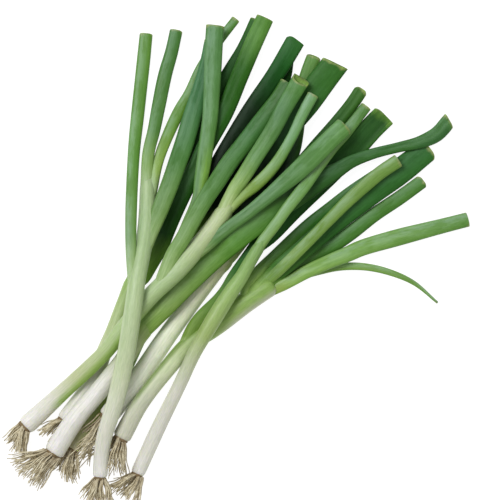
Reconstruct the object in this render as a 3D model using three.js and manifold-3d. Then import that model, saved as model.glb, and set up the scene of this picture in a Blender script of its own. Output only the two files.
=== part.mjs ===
// A bunch of eight trimmed spring onions, lying loose on a table.
// Millimetres, +Z up. The roots are at -Y and the cut leaf ends are at +Y.
import * as THREE from "three";
import { mergeVertices } from "three/addons/utils/BufferGeometryUtils.js";
import Module from "manifold-3d";

const wasm = await Module();
wasm.setup();

// Driving dimensions
const LAY_ANGLE = 32;          // degrees that the drawn layout is turned, so the bunch points along +Y
const SHANK_ROUNDNESS = 0.92;  // height of a shank's section over its width
const LEAF_ROUNDNESS = 0.5;    // height of a narrow leaf's section over its width
const LEAF_MAX_HEIGHT = 5.2;   // wide leaves are pressed flatter than narrow ones
const LEAF_MIN_HEIGHT = 2.2;
const LEAF_WALL = 0.7;         // a leaf is hollow, and its cut end shows a wall this thick
const HOLLOW_DEPTH = 16;       // how far the hollow is modelled in from the cut end
const PIECE_GAP = 0.3;         // clearance left where two pieces meet
const LAY_GAP = 0.5;           // clearance under a piece that lies over another
const FLOOR_SINK = 0.3;        // how far the lowest pieces are pressed flat on the table
const BEND_REACH = 10;         // half the length over which a bend is rounded
const SHANK_SLOPE = 0.32;      // the steepest climb of a stiff shank over what it lies on
const LEAF_SLOPE = 0.4;
const LEAF_ROOTING = 26;       // a leaf keeps its shank's height over this length
const SHANK_SIDES = 10;
const LEAF_SIDES = 8;
const SHANK_STATION = 17;      // spacing of the rings along a shank
const LEAF_STATION = 16;       // spacing of the rings along a leaf
const ROOT_STRANDS = 16;
const GOLDEN_TURN = 2.4;        // radians between one strand's place on the plate and the next
const ROOT_RADIUS = [0.6, 0.4];
const ROOT_SPREAD = 38;        // degrees to each side of the shank's own line
const PLATE_LENGTH = 4;        // the brown basal plate that carries the roots

const WHITE = 0xd6d6c8;
const TAN = 0x9a8c66;

// Each route is a hand-chosen centre line as laid: x to the right, y away, then the width.
// The layers are listed from the lowest to the highest.
const LAYERS = [
  shank("onion_4", [[-115.5, -130, 9], [-97.5, -101, 9.5], [-83, -79.5, 9.5], [-71.5, -55, 10],
    [-55, -26, 10.5], [-45, -3, 11], [-38, 14, 11]]),
  leaf("onion_4", "leaf_2", 0x3f6b3c, [[-39, 3, 9], [-31, 14, 10.5], [-23.5, 25, 11], [-11.5, 45, 11],
    [-1, 64, 10], [8.5, 84, 9], [17, 101, 8.5], [22.5, 112, 8.5], [24.3, 123, 8.5], [24.8, 130, 8]]),
  leaf("onion_4", "leaf_1", 0x3d7040, [[-39, 10, 10.5], [-31, 29, 11.5], [-22, 51.5, 12.5],
    [-9.5, 73.5, 12.5], [3.2, 94.5, 12.2], [17.3, 115.5, 11.8], [30.2, 137.3, 12.4]]),
  shank("onion_3", [[-121.5, -111, 10], [-108, -93, 10], [-99, -78, 10], [-95, -66.5, 10],
    [-89.3, -53.5, 9.6], [-84.7, -41, 9.3], [-79.8, -28, 9], [-75.3, -16, 9.5]]),
  leaf("onion_3", "leaf_2", 0x3f7038, [[-77, -18, 6], [-64, 9, 8], [-55, 24, 8], [-44, 46, 8.5],
    [-32, 76, 9], [-20, 105, 9], [-13.5, 116, 9], [-4, 131.5, 9], [4.5, 150.5, 8]]),
  leaf("onion_3", "leaf_1", 0x4b7d37, [[-70, -16, 11.5], [-59.2, 3.4, 13.2], [-54.3, 15, 12.8],
    [-49.1, 26.4, 12.2], [-42, 40.5, 11.5], [-34.5, 55, 11.5], [-28.5, 68, 11.5], [-16, 91, 11.5],
    [-6.5, 114, 11.5], [1.5, 133, 11.5], [10, 151.5, 11.5]]),
  shank("onion_6", [[-93, -109, 12.8], [-72, -82.5, 12.8], [-56.2, -59.2, 12.2], [-39.4, -35.7, 12],
    [-24, -15, 11.8], [-12, 0, 11.5]]),
  leaf("onion_6", "leaf_3", 0x6b9a52, [[-14, -2, 8], [2.5, 17.3, 10], [13.8, 36.5, 10.5],
    [26.5, 60, 9.5], [30.5, 78, 9.5], [32, 94, 9], [36.5, 112, 9], [42, 127, 9.6]]),
  leaf("onion_6", "leaf_2", 0x4a7f48, [[-16, -6, 10], [-7.5, 14.5, 14], [1.2, 37.5, 16], [11.5, 60, 16],
    [24, 80.5, 17], [36.5, 96, 17.5], [46, 109, 18], [56, 122, 17.5]]),
  leaf("onion_6", "leaf_1", 0x47763d, [[-12, -3, 9], [4, 18, 9], [17, 36.5, 9.5], [32, 54, 9.5],
    [43, 67, 9.5], [56, 82, 9.5], [66, 94.5, 9.3], [73.2, 105.3, 8.8]]),
  shank("onion_7", [[-83.8, -122.2, 11.8], [-71.9, -100.8, 10.6], [-55.3, -79, 10.8],
    [-39.5, -61.5, 12], [-23, -49.5, 13.5], [-3.5, -34.5, 13.5], [14.5, -22.5, 13]]),
  leaf("onion_7", "leaf_6", 0x2f6a35, [[-43, -64.5, 9.4], [-34.8, -47.8, 9.2], [-20.6, -32.2, 7.6],
    [-15.9, -26, 7.2], [-11.2, -18.2, 7.8], [-6.1, -11.2, 8.5], [0, -3.4, 9.3], [5, 3, 10.2],
    [13, 9.8, 11.5], [27, 25, 13], [39, 37.5, 14], [53.5, 52, 14.6], [69.3, 68, 15], [79.3, 79.4, 15],
    [88.2, 88.2, 15]]),
  leaf("onion_7", "leaf_7", 0x3d7a3c, [[-1.5, -23, 8], [5.3, -14.5, 8], [15.5, -4.5, 7.5],
    [26.2, 6, 7.4], [38.2, 16.9, 7.6], [51.1, 27, 7.2], [65, 38, 6.8], [77.4, 46.7, 6.2],
    [85.7, 52.2, 6]]),
  leaf("onion_7", "leaf_5", 0x77a15a, [[10, -24, 4], [27, -19, 5], [44, -14, 5], [58.5, -11, 5],
    [75, -11, 4.8], [91, -14.5, 4.2], [107, -21.5, 3], [122.5, -34.5, 1.2]], { pointed: true }),
  leaf("onion_7", "leaf_3", 0x5e9450, [[3, -28, 8], [22, -13.5, 9.5], [48.3, -0.3, 10],
    [64.6, 10.4, 9.8], [81, 23, 9.5], [97.5, 34, 9.5], [113.2, 45.4, 8.8]]),
  leaf("onion_7", "leaf_4", 0x6c985c, [[9, -28.5, 7], [21.5, -22.9, 7.4], [36.5, -14.4, 8.9],
    [53.4, -6.8, 8.8], [64, -2.6, 10.2], [72.5, 1.2, 10.4], [94, 7.5, 11], [117, 13.5, 10],
    [142.5, 20, 9.5]]),
  leaf("onion_7", "leaf_2", 0x417848, [[4, -27, 11], [19, -13, 12], [37.5, 3, 12.5], [57, 19.8, 14],
    [77.3, 35.9, 16], [97.5, 51, 17], [117.3, 66.6, 15.2]]),
  leaf("onion_7", "leaf_1", 0x7da055, [[-6.5, -35.8, 7], [4, -26.5, 7.2], [16.4, -15.5, 7.2],
    [27.6, -4.6, 7.3], [39.1, 6.9, 7.4], [50.4, 18.5, 7.8], [63.7, 31.9, 8.4], [74.8, 41.9, 8.6],
    [84.8, 50.3, 8.8], [96.9, 58.4, 8.7]]),
  shank("onion_2", [[-128, -132, 13], [-114, -110.5, 12.5], [-101, -95, 12], [-91, -83, 12],
    [-82, -71.5, 12], [-73.5, -57, 12], [-65, -46, 12.5]]),
  leaf("onion_2", "leaf_2", 0x6b7c3e, [[-70, -52, 6], [-60, -43, 6], [-52, -37, 6], [-44, -30, 5.5],
    [-37, -24, 4]]),
  leaf("onion_2", "leaf_1", 0x4b824b, [[-67, -49, 12], [-55, -37, 13], [-40, -21, 14], [-21, -3, 14.5],
    [-3, 12.3, 15], [13, 25, 16], [29.6, 36.3, 17.4], [44.4, 45, 13.8], [56, 51.5, 10], [66, 57.5, 8.5],
    [81, 63, 7], [97.5, 67.1, 6.4], [112, 70.7, 7.8], [122, 75.7, 11], [130, 84.6, 8.8]]),
  shank("onion_1", [[-146.5, -115, 12], [-123, -93.5, 10.3], [-93.8, -66, 10], [-81, -49.5, 10.8],
    [-65, -30.5, 11], [-45.5, -11.5, 12.2], [-23, 16, 11.4], [-13.5, 29, 12]]),
  shank("onion_8", [[-73.5, -146, 9], [-59.5, -115.5, 9.4], [-45, -86, 8.5], [-36, -66.5, 8.8],
    [-23, -44, 10.3], [-12.5, -27.5, 10], [-5.3, -17, 8.8], [-0.9, -9.1, 8.2], [3, -2.6, 8],
    [9, 7, 7.8]]),
  leaf("onion_8", "leaf_1", 0x568748, [[3, -2.6, 7], [9, 7, 7.6], [14.2, 13.5, 7.6], [18.2, 18.8, 7],
    [22.7, 25.2, 7.1], [26.9, 30.7, 7.5], [31.5, 36.4, 7.8], [35.2, 41.1, 7.8], [44.9, 55.1, 7.8],
    [54.7, 68.1, 7.8], [61.2, 75.1, 7.7], [76, 94, 7.3]]),
  leaf("onion_1", "leaf_4", 0x6c9c70, [[-40, -6, 8.5], [-27.5, 3.5, 8.5], [-20, 9.8, 8],
    [-12.2, 15.9, 7.8], [-1.7, 23.6, 8], [8.4, 31.8, 8.8], [20.8, 42.3, 10.7], [30.6, 50.8, 12.2],
    [41.4, 61.1, 12.7], [54.3, 73.8, 12.3], [62, 81, 12.3]]),
  leaf("onion_1", "leaf_3", 0x7aa35e, [[-18, 22, 7], [-5, 35.5, 8], [3.8, 42.2, 8], [16, 55, 7.6],
    [27, 73, 6.7], [34, 88, 7], [41.2, 101.4, 7.5]]),
  shank("onion_5", [[-97.5, -147.5, 9.5], [-95, -123.5, 10], [-87, -97.5, 11], [-81, -71.5, 11.5],
    [-76.5, -45.5, 11.5], [-73, -19.5, 11], [-67.5, 13, 11], [-66.5, 39, 10.5], [-67, 48, 9]]),
  leaf("onion_5", "leaf_1", 0x739e4e, [[-76, -20, 6], [-77, 0, 7], [-77, 26, 7.5], [-75.5, 65, 8],
    [-73, 91, 8.5], [-69.5, 123.5, 8.7], [-67.7, 141.5, 8]]),
  leaf("onion_5", "leaf_3", 0x78a541, [[-63.5, 38, 6], [-59, 60, 7], [-46.8, 89.3, 8], [-39.3, 102, 8],
    [-32, 118.3, 7.2], [-22, 134, 6], [-9, 151, 5.6]]),
  leaf("onion_5", "leaf_4", 0x50876e, [[-68, 2, 9], [-62.5, 16, 10], [-57.2, 29, 11], [-51, 45.3, 11.6],
    [-46.6, 58.3, 12], [-42.2, 71.3, 12.4], [-37.2, 88.5, 12.2], [-31.8, 106.5, 10.8], [-28.6, 120, 9],
    [-25.6, 137, 7.6]]),
  leaf("onion_5", "leaf_2", 0x58915a, [[-67.5, 42, 7.5], [-66, 63, 8], [-62.5, 78, 8.5], [-59.5, 94, 9],
    [-55.5, 114, 9], [-51, 130, 8.5], [-48, 143.8, 8]]),
  leaf("onion_1", "leaf_1", 0x6e9b73, [[-54.5, -16, 6], [-50.4, -3.2, 6], [-45.8, 6.5, 6],
    [-40.1, 19.5, 6.2], [-36.3, 27.5, 6.8], [-33.6, 34.5, 7.6], [-31.9, 45.5, 8.8], [-29.8, 58.5, 9.6],
    [-28, 71.5, 9.8], [-26.1, 84.5, 10.2], [-25.2, 97.5, 10.2], [-24.4, 113.8, 11.2], [-23.7, 130, 12],
    [-22.7, 146.4, 11.8]]),
  leaf("onion_1", "leaf_5", 0x64966a, [[-56, -18, 9], [-50, -3.2, 9.4], [-43.9, 6.5, 10],
    [-36.8, 19.5, 10.3], [-29.3, 32.5, 10.8], [-20.8, 45.5, 11.4], [-12.8, 57.7, 11.8],
    [-3.5, 69.5, 11.8], [8, 84.5, 11.5], [18.5, 98, 11.2], [25.2, 109, 11]]),
  leaf("onion_1", "leaf_2", 0x6f9e6c, [[-18, 24, 9], [-13.5, 33, 8.5], [-9.2, 40.8, 8.8],
    [-5.5, 46, 9.6], [-1.6, 52, 9.9], [2.7, 59, 10], [7.9, 67.1, 10.3], [14.8, 78, 10.4],
    [23, 93.7, 10.8], [27.9, 102.2, 11.4], [34, 112, 12]]),
];

// How each tuft lies: its turn from the shank's own line, its shortest and longest root
const TUFTS = {
  onion_1: { lean: 24, lengths: [13, 18] },
  onion_2: { lean: -20, lengths: [20, 29] },
  onion_3: { lean: -12, lengths: [13, 18] },
  onion_4: { lean: 8, lengths: [16, 24] },
  onion_5: { lean: -10, lengths: [14, 20] },
  onion_6: { lean: 12, lengths: [26, 42] },
  onion_7: { lean: 18, lengths: [18, 27] },
  onion_8: { lean: -20, lengths: [15, 21] },
};

function shank(onion, route) {
  return { onion, name: `${onion}_shank`, kind: "shank", color: WHITE, route };
}

function leaf(onion, suffix, color, route, options = {}) {
  return { onion, name: `${onion}_${suffix}`, kind: "leaf", color, route, ...options };
}

// A smooth curve through the route, sampled at an even spacing
function stations(piece, spacing) {
  const points = piece.route.map(([x, y]) => new THREE.Vector3(x, y, 0));
  const curve = new THREE.CatmullRomCurve3(points, false, "centripetal");
  const length = curve.getLength();
  const count = Math.max(4, Math.round(length / spacing));
  const widths = piece.route.map((point) => point[2]);
  const marks = [0];
  for (let i = 1; i < points.length; i += 1) {
    marks.push(marks[i - 1] + points[i].distanceTo(points[i - 1]));
  }
  const total = marks[marks.length - 1];
  const result = [];
  for (let i = 0; i <= count; i += 1) {
    const at = curve.getPointAt(i / count);
    const tangent = curve.getTangentAt(i / count);
    const along = (i / count) * total;
    let k = 0;
    while (k < marks.length - 2 && marks[k + 1] < along) k += 1;
    const share = (along - marks[k]) / (marks[k + 1] - marks[k]);
    const width = THREE.MathUtils.lerp(widths[k], widths[k + 1], share);
    result.push({
      x: at.x,
      y: at.y,
      side: new THREE.Vector2(-tangent.y, tangent.x).normalize(),
      width,
      height: sectionHeight(piece, width),
      along: (i / count) * length,
    });
  }
  return result;
}

function sectionHeight(piece, width) {
  if (piece.kind === "shank") return width * SHANK_ROUNDNESS;
  return THREE.MathUtils.clamp(width * LEAF_ROUNDNESS, LEAF_MIN_HEIGHT, LEAF_MAX_HEIGHT);
}

// The pile's upper surface so far, on a grid of square cells
const CELL = 1.5;
const GRID = 260;
const pile = new Float32Array(GRID * GRID);

function cellOf(x, y) {
  const column = Math.floor(x / CELL + GRID / 2);
  const row = Math.floor(y / CELL + GRID / 2);
  return row * GRID + column;
}

// Calls visit for points across the section, with the section's half height at each
function across(station, visit) {
  const half = station.width / 2;
  for (let offset = -half; offset <= half; offset += CELL / 2) {
    const rise = (station.height / 2) * Math.sqrt(Math.max(0, 1 - (offset / half) ** 2));
    visit(station.x + station.side.x * offset, station.y + station.side.y * offset, rise);
  }
}

function windowed(values, alongs, reach, combine) {
  return values.map((value, i) => {
    const near = values.filter((other, k) => Math.abs(alongs[k] - alongs[i]) <= reach);
    return combine(near);
  });
}

const highest = (list) => Math.max(...list);
const average = (list) => list.reduce((sum, value) => sum + value, 0) / list.length;

// A piece sags onto what lies under it: it bends smoothly over the pile and down to the table
function layDown(piece, home) {
  const fine = stations(piece, 1.5);
  const alongs = fine.map((station) => station.along);
  const rooted = home ? nearest(home, fine[0]) : null;
  const needed = fine.map((station) => {
    let need = station.height / 2 - FLOOR_SINK;
    across(station, (x, y, rise) => {
      const below = pile[cellOf(x, y)];
      if (below > 0) need = Math.max(need, below + LAY_GAP + rise);
    });
    const free = rooted && station.along < LEAF_ROOTING * 0.6;
    return free ? rooted.z : need;
  });
  const slope = piece.kind === "shank" ? SHANK_SLOPE : LEAF_SLOPE;
  const ramped = needed.map((value, i) =>
    Math.max(...needed.map((other, k) => other - slope * Math.abs(alongs[k] - alongs[i]))));
  const eased = windowed(windowed(ramped, alongs, BEND_REACH, highest), alongs, BEND_REACH, average);
  fine.forEach((station, i) => {
    station.z = eased[i];
    if (rooted) {
      const share = THREE.MathUtils.smoothstep(station.along, LEAF_ROOTING * 0.25, LEAF_ROOTING);
      station.z = THREE.MathUtils.lerp(rooted.z, eased[i], share);
    }
  });
  fine.forEach((station) => {
    across(station, (x, y, rise) => {
      const cell = cellOf(x, y);
      pile[cell] = Math.max(pile[cell], station.z + rise);
    });
  });
  piece.fine = fine;
}

function nearest(piece, spot) {
  const gap = (station) => Math.hypot(station.x - spot.x, station.y - spot.y);
  return piece.fine.reduce((best, station) => (gap(station) < gap(best) ? station : best));
}

// A closed solid through elliptical rings, with a flat cap on each end
function loft(rings, sides) {
  const vertices = [];
  const triangles = [];
  rings.forEach((ring) => {
    for (let k = 0; k < sides; k += 1) {
      const turn = (2 * Math.PI * k) / sides;
      const out = (ring.width / 2) * Math.cos(turn);
      const up = (ring.height / 2) * Math.sin(turn);
      vertices.push(ring.x + ring.side.x * out, ring.y + ring.side.y * out, ring.z + up);
    }
  });
  for (let i = 0; i < rings.length - 1; i += 1) {
    for (let k = 0; k < sides; k += 1) {
      const a = i * sides + k;
      const b = i * sides + ((k + 1) % sides);
      triangles.push(a, b, b + sides, a, b + sides, a + sides);
    }
  }
  const last = (rings.length - 1) * sides;
  for (let k = 1; k < sides - 1; k += 1) {
    triangles.push(0, k + 1, k);
    triangles.push(last, last + k, last + k + 1);
  }
  const solid = new wasm.Manifold(new wasm.Mesh({
    numProp: 3,
    vertProperties: new Float32Array(vertices),
    triVerts: new Uint32Array(triangles),
  }));
  return solid;
}

function ringsOf(piece, grow) {
  const spacing = piece.kind === "shank" ? SHANK_STATION : LEAF_STATION;
  // A shank's section has a flat side on top and underneath, a leaf's has a corner there
  const flatness = piece.kind === "shank" ? Math.cos(Math.PI / SHANK_SIDES) : 1;
  const rings = stations(piece, spacing).map((station) => {
    const z = nearest(piece, station).z;
    const width = station.width + 2 * grow;
    const height = (station.height + 2 * grow) / flatness;
    return { ...station, z, width, height };
  });
  if (piece.kind === "shank") {
    rings.unshift(...bulbRings(rings[0], rings[1]));
    rings.splice(2, 1);
  }
  return rings;
}

// The bulb end is drawn in over a few millimetres to the basal plate
function bulbRings(first, second) {
  const shrunk = { ...first, width: first.width * 0.62, height: first.height * 0.62 };
  const span = Math.hypot(second.x - first.x, second.y - first.y);
  const share = 3 / span;
  const shoulder = {
    ...first,
    x: THREE.MathUtils.lerp(first.x, second.x, share),
    y: THREE.MathUtils.lerp(first.y, second.y, share),
    z: THREE.MathUtils.lerp(first.z, second.z, share),
  };
  return [shrunk, shoulder];
}

// The hollow that shows at a leaf's cut end
function hollow(piece) {
  const end = piece.fine[piece.fine.length - 1];
  const inner = piece.fine.filter((station) => end.along - station.along < HOLLOW_DEPTH);
  const picked = [inner[0], inner[Math.floor(inner.length / 2)], end];
  const rings = picked.map((station) => ({
    ...station,
    width: station.width - 2 * LEAF_WALL,
    height: station.height - 2 * LEAF_WALL,
  }));
  const before = picked[1];
  const beyond = { ...rings[2] };
  const step = 1 / Math.hypot(end.x - before.x, end.y - before.y);
  beyond.x += (end.x - before.x) * step;
  beyond.y += (end.y - before.y) * step;
  beyond.z += (end.z - before.z) * step;
  rings.push(beyond);
  return loft(rings, LEAF_SIDES);
}

function solidOf(piece, grow) {
  const sides = piece.kind === "shank" ? SHANK_SIDES : LEAF_SIDES;
  return loft(ringsOf(piece, grow), sides);
}

function largest(solid) {
  const bodies = solid.decompose();
  return bodies.reduce((best, body) => (body.volume() > best.volume() ? body : best));
}

// Repeatable random numbers from 0 to 1
function randomFrom(seed) {
  let state = seed;
  return () => {
    state = (state * 1664525 + 1013904223) % 4294967296;
    return state / 4294967296;
  };
}

// Points that other pieces fill, as balls
const filled = [];

function fillFrom(piece) {
  piece.fine.forEach((station) => {
    filled.push({ x: station.x, y: station.y, z: station.z, radius: station.width / 2, owner: piece.onion });
  });
}

function isFree(point, radius, owner) {
  return filled.every((ball) => {
    if (ball.owner === owner) return true;
    const gap = Math.hypot(point.x - ball.x, point.y - ball.y, point.z - ball.z);
    return gap > ball.radius + radius + PIECE_GAP;
  });
}

// A thin tapered strand with three sides
function strand(points) {
  const rings = points.map((point, i) => {
    const next = points[Math.min(i + 1, points.length - 1)];
    const last = points[Math.max(i - 1, 0)];
    const side = new THREE.Vector2(-(next.y - last.y), next.x - last.x).normalize();
    const share = i / (points.length - 1);
    const width = 2 * THREE.MathUtils.lerp(ROOT_RADIUS[0], ROOT_RADIUS[1], share);
    return { x: point.x, y: point.y, z: point.z, side, width, height: width };
  });
  return loft(rings, 3);
}

// Roots start all over the plate's back face and splay out from it
function rootTuft(piece, seed) {
  const random = randomFrom(seed);
  const tuft = TUFTS[piece.onion];
  const base = piece.fine[0];
  const next = piece.fine[4];
  const back = new THREE.Vector2(base.x - next.x, base.y - next.y).normalize();
  const plateRings = [0.6, 0.56, 0.5].map((size, i) => {
    const out = PIECE_GAP + (PLATE_LENGTH * i) / 2;
    return {
      x: base.x + back.x * out,
      y: base.y + back.y * out,
      z: base.z,
      side: new THREE.Vector2(-back.y, back.x),
      width: base.width * size,
      height: base.height * size,
    };
  });
  const parts = [loft(plateRings, SHANK_SIDES)];
  const face = plateRings[1];
  const points = [];
  for (let i = 0; i < ROOT_STRANDS; i += 1) {
    const reach = Math.sqrt((i + 0.5) / ROOT_STRANDS) * 0.8;
    const place = i * GOLDEN_TURN;
    const sideways = reach * Math.cos(place);
    const upward = reach * Math.sin(place);
    for (let tries = 0; tries < 12; tries += 1) {
      const route = strandRoute(tuft, face, back, sideways, upward, random);
      if (route.every((point) => isFree(point, ROOT_RADIUS[0], piece.onion))) {
        parts.push(strand(route));
        points.push(...between(route));
        break;
      }
    }
  }
  points.forEach((point) => filled.push({ ...point, radius: ROOT_RADIUS[0], owner: piece.onion }));
  return largest(wasm.Manifold.union(parts));
}

function strandRoute(tuft, face, back, sideways, upward, random) {
  const steps = 4;
  const turn = tuft.lean + sideways * ROOT_SPREAD + (random() * 2 - 1) * 9;
  const curl = (random() * 2 - 1) * 30;
  const length = THREE.MathUtils.lerp(tuft.lengths[0], tuft.lengths[1], random());
  const droop = 0.5 + random() * 0.6;
  let heading = Math.atan2(back.y, back.x) + THREE.MathUtils.degToRad(turn);
  let x = face.x + (face.side.x * sideways * face.width) / 2;
  let y = face.y + (face.side.y * sideways * face.width) / 2;
  let z = face.z + (upward * face.height) / 2;
  const route = [{ x, y, z }];
  for (let i = 0; i < steps; i += 1) {
    x += (Math.cos(heading) * length) / steps;
    y += (Math.sin(heading) * length) / steps;
    const slope = upward * 0.35 - (droop * i) / steps;
    z = Math.max(ROOT_RADIUS[0] + 0.1, z + (slope * length) / steps);
    heading += THREE.MathUtils.degToRad(curl / steps);
    route.push({ x, y, z });
  }
  return route;
}

// The route's points with four more in each span
function between(route) {
  const result = [route[0]];
  for (let i = 1; i < route.length; i += 1) {
    for (let share = 0.2; share < 1.1; share += 0.2) {
      result.push({
        x: THREE.MathUtils.lerp(route[i - 1].x, route[i].x, share),
        y: THREE.MathUtils.lerp(route[i - 1].y, route[i].y, share),
        z: THREE.MathUtils.lerp(route[i - 1].z, route[i].z, share),
      });
    }
  }
  return result;
}

function meshOf(name, solid, color) {
  const { vertProperties, triVerts } = solid.getMesh();
  const geometry = new THREE.BufferGeometry();
  geometry.setAttribute("position", new THREE.BufferAttribute(vertProperties, 3));
  geometry.setIndex(new THREE.BufferAttribute(triVerts, 1));
  const merged = mergeVertices(geometry, 1e-4);
  merged.computeVertexNormals();
  const surface = new THREE.MeshStandardMaterial({ color, roughness: 0.5, metalness: 0 });
  const mesh = new THREE.Mesh(merged, surface);
  mesh.name = name;
  return mesh;
}

// Lay the pile, then cut each solid clear of those below it
const shanks = new Map();
LAYERS.forEach((piece) => {
  layDown(piece, shanks.get(piece.onion));
  if (piece.kind === "shank") shanks.set(piece.onion, piece);
  fillFrom(piece);
});

const made = [];

function clearOf(solid, grown) {
  let result = solid;
  made.forEach((other) => {
    if (result.intersect(other.solid).volume() > 0.002) {
      result = result.subtract(grown ? other.grown : other.solid);
    }
  });
  return largest(result.trimByPlane([0, 0, 1], 0));
}

LAYERS.forEach((piece) => {
  let solid = solidOf(piece, 0);
  if (piece.kind === "leaf" && !piece.pointed) solid = solid.subtract(hollow(piece));
  solid = clearOf(solid, true);
  made.push({ name: piece.name, solid, grown: solidOf(piece, PIECE_GAP), color: piece.color });
});

[...shanks.values()].forEach((piece, i) => {
  const solid = clearOf(rootTuft(piece, 71 + 13 * i), true);
  made.push({ name: `${piece.onion}_roots`, solid, grown: solid, color: TAN });
});

const group = new THREE.Group();
group.name = "spring_onion_bunch";
const laid = new THREE.Group();
laid.name = "laid_out";
made.forEach((item) => laid.add(meshOf(item.name, item.solid, item.color)));
laid.rotation.z = THREE.MathUtils.degToRad(LAY_ANGLE);
group.add(laid);

// The origin is at the middle of the footprint, on the table
laid.updateMatrixWorld(true);
const extent = new THREE.Box3().setFromObject(laid, true);
laid.position.set(-(extent.min.x + extent.max.x) / 2, -(extent.min.y + extent.max.y) / 2, -extent.min.z);

export default group;
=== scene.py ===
import math
import random
import bmesh
import bpy
from mathutils import Matrix, Vector
from mathutils.bvhtree import BVHTree


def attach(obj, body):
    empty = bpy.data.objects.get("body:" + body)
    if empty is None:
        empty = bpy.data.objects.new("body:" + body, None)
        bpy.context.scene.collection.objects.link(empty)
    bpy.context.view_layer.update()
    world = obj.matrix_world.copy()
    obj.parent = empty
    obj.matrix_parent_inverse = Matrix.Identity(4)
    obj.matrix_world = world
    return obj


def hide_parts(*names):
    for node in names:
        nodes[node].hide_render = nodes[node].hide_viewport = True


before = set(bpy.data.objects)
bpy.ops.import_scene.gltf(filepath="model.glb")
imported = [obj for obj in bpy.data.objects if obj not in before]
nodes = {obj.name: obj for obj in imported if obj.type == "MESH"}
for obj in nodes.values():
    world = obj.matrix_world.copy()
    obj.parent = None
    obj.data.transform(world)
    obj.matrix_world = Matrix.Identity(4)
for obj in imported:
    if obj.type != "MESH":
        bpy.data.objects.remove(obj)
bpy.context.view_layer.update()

# the bunch is drawn as laid on the table, in millimetres, then turned so that it points along +Y
layout = {"turn": math.radians(32), "shift": (6.8656, 34.0876), "photoWidth": 325}


def intoFrame(x, y, z=0.0):
    turned = Matrix.Rotation(layout["turn"], 3, "Z") @ Vector((x, y, z))
    return (turned + Vector((layout["shift"][0], layout["shift"][1], 0))) / 1000


# routes: the same centre lines as the solids, x, y and width
def curveThrough(points):
    points = [Vector(p) for p in points]
    padded = [2 * points[0] - points[1]] + points + [2 * points[-1] - points[-2]]
    fine = []
    for a, b, c, d in zip(padded, padded[1:], padded[2:], padded[3:]):
        before, span, after = [max((q - p).length, 1e-6) ** 0.5 for p, q in ((a, b), (b, c), (c, d))]
        leave = ((b - a) / before - (c - a) / (before + span) + (c - b) / span) * span
        arrive = ((c - b) / span - (d - b) / (span + after) + (d - c) / after) * span
        for i in range(24):
            t = i / 24
            fine.append(b + leave * t + (3 * (c - b) - 2 * leave - arrive) * t ** 2
                        + (2 * (b - c) + leave + arrive) * t ** 3)
    fine.append(points[-1])
    return fine


def spacedAlong(points, spacing):
    marks = [0.0]
    for a, b in zip(points, points[1:]):
        marks.append(marks[-1] + (b - a).length)
    count = max(6, round(marks[-1] / spacing))
    spaced, k = [], 0
    for i in range(count + 1):
        goal = marks[-1] * i / count
        while k < len(points) - 2 and marks[k + 1] < goal:
            k += 1
        share = (goal - marks[k]) / max(marks[k + 1] - marks[k], 1e-9)
        spaced.append(points[k].lerp(points[k + 1], min(share, 1)))
    return spaced, marks[-1] / count


def blurred(values, reach):
    result = []
    for i in range(len(values)):
        near = values[max(0, i - reach):i + reach + 1]
        result.append(sum(near) / len(near))
    return result


def raysOn(node):
    solid = nodes[node]
    corners = [solid.matrix_world @ v.co for v in solid.data.vertices]
    return BVHTree.FromPolygons(corners, [list(p.vertices) for p in solid.data.polygons])


# millimetres: a section's height is its width times roundness, up to tallest
shankBuild = {"roundness": 0.92, "tallest": 99, "spacing": 2.5, "sides": 28}
leafBuild = {"roundness": 0.5, "tallest": 5.2, "spacing": 3, "sides": 26, "cutReach": 7, "thinnest": 0.15}


# a piece's height above the table is read from its own solid
def liftedPath(node, route, build):
    flat = curveThrough([(x, y, 0) for x, y, w in route])
    widths = [w for x, y, w in route]
    marks = [0.0]
    for a, b in zip(route, route[1:]):
        marks.append(marks[-1] + math.dist(a[:2], b[:2]))
    spots, step = spacedAlong(flat, build["spacing"])
    tree = raysOn(node)
    stations = []
    for i, spot in enumerate(spots):
        along = marks[-1] * i / (len(spots) - 1)
        k = max(j for j in range(len(marks) - 1) if marks[j] <= along + 1e-6)
        width = widths[k] + (widths[k + 1] - widths[k]) * (along - marks[k]) / (marks[k + 1] - marks[k])
        height = min(width * build["roundness"], build["tallest"])
        place = intoFrame(spot.x, spot.y)
        top = tree.ray_cast(Vector((place.x, place.y, 0.3)), Vector((0, 0, -1)))[0]
        low = tree.ray_cast(Vector((place.x, place.y, -0.1)), Vector((0, 0, 1)))[0]
        z = None  # where the solid is thin, as at its ends, the stations beside give the height
        if top and low and (top.z - low.z) * 1000 > height * 0.8:
            z = (top.z + low.z) * 500
        stations.append({"x": spot.x, "y": spot.y, "z": z, "width": width, "height": height,
                         "along": i * step})
    known = [i for i, s in enumerate(stations) if s["z"] is not None]
    heights = []
    for i, s in enumerate(stations):
        before = max([k for k in known if k <= i], default=known[0])
        after = min([k for k in known if k >= i], default=known[-1])
        share = 0 if after == before else (i - before) / (after - before)
        heights.append(stations[before]["z"] * (1 - share) + stations[after]["z"] * share)
    heights = blurred(blurred(heights, 3), 3)
    smoothWidths = blurred([s["width"] for s in stations], 3)
    smoothHeights = blurred([s["height"] for s in stations], 3)
    for s, z, w, h in zip(stations, heights, smoothWidths, smoothHeights):
        s["z"], s["width"], s["height"] = z, w, h
    for i, s in enumerate(stations):
        a = stations[max(i - 1, 0)]
        b = stations[min(i + 1, len(stations) - 1)]
        s["ahead"] = Vector((b["x"] - a["x"], b["y"] - a["y"], b["z"] - a["z"])).normalized()
        s["side"] = Vector((-s["ahead"].y, s["ahead"].x, 0)).normalized()
        s["up"] = s["ahead"].cross(s["side"])
        s["at"] = Vector((s["x"], s["y"], s["z"]))
    return stations


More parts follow.
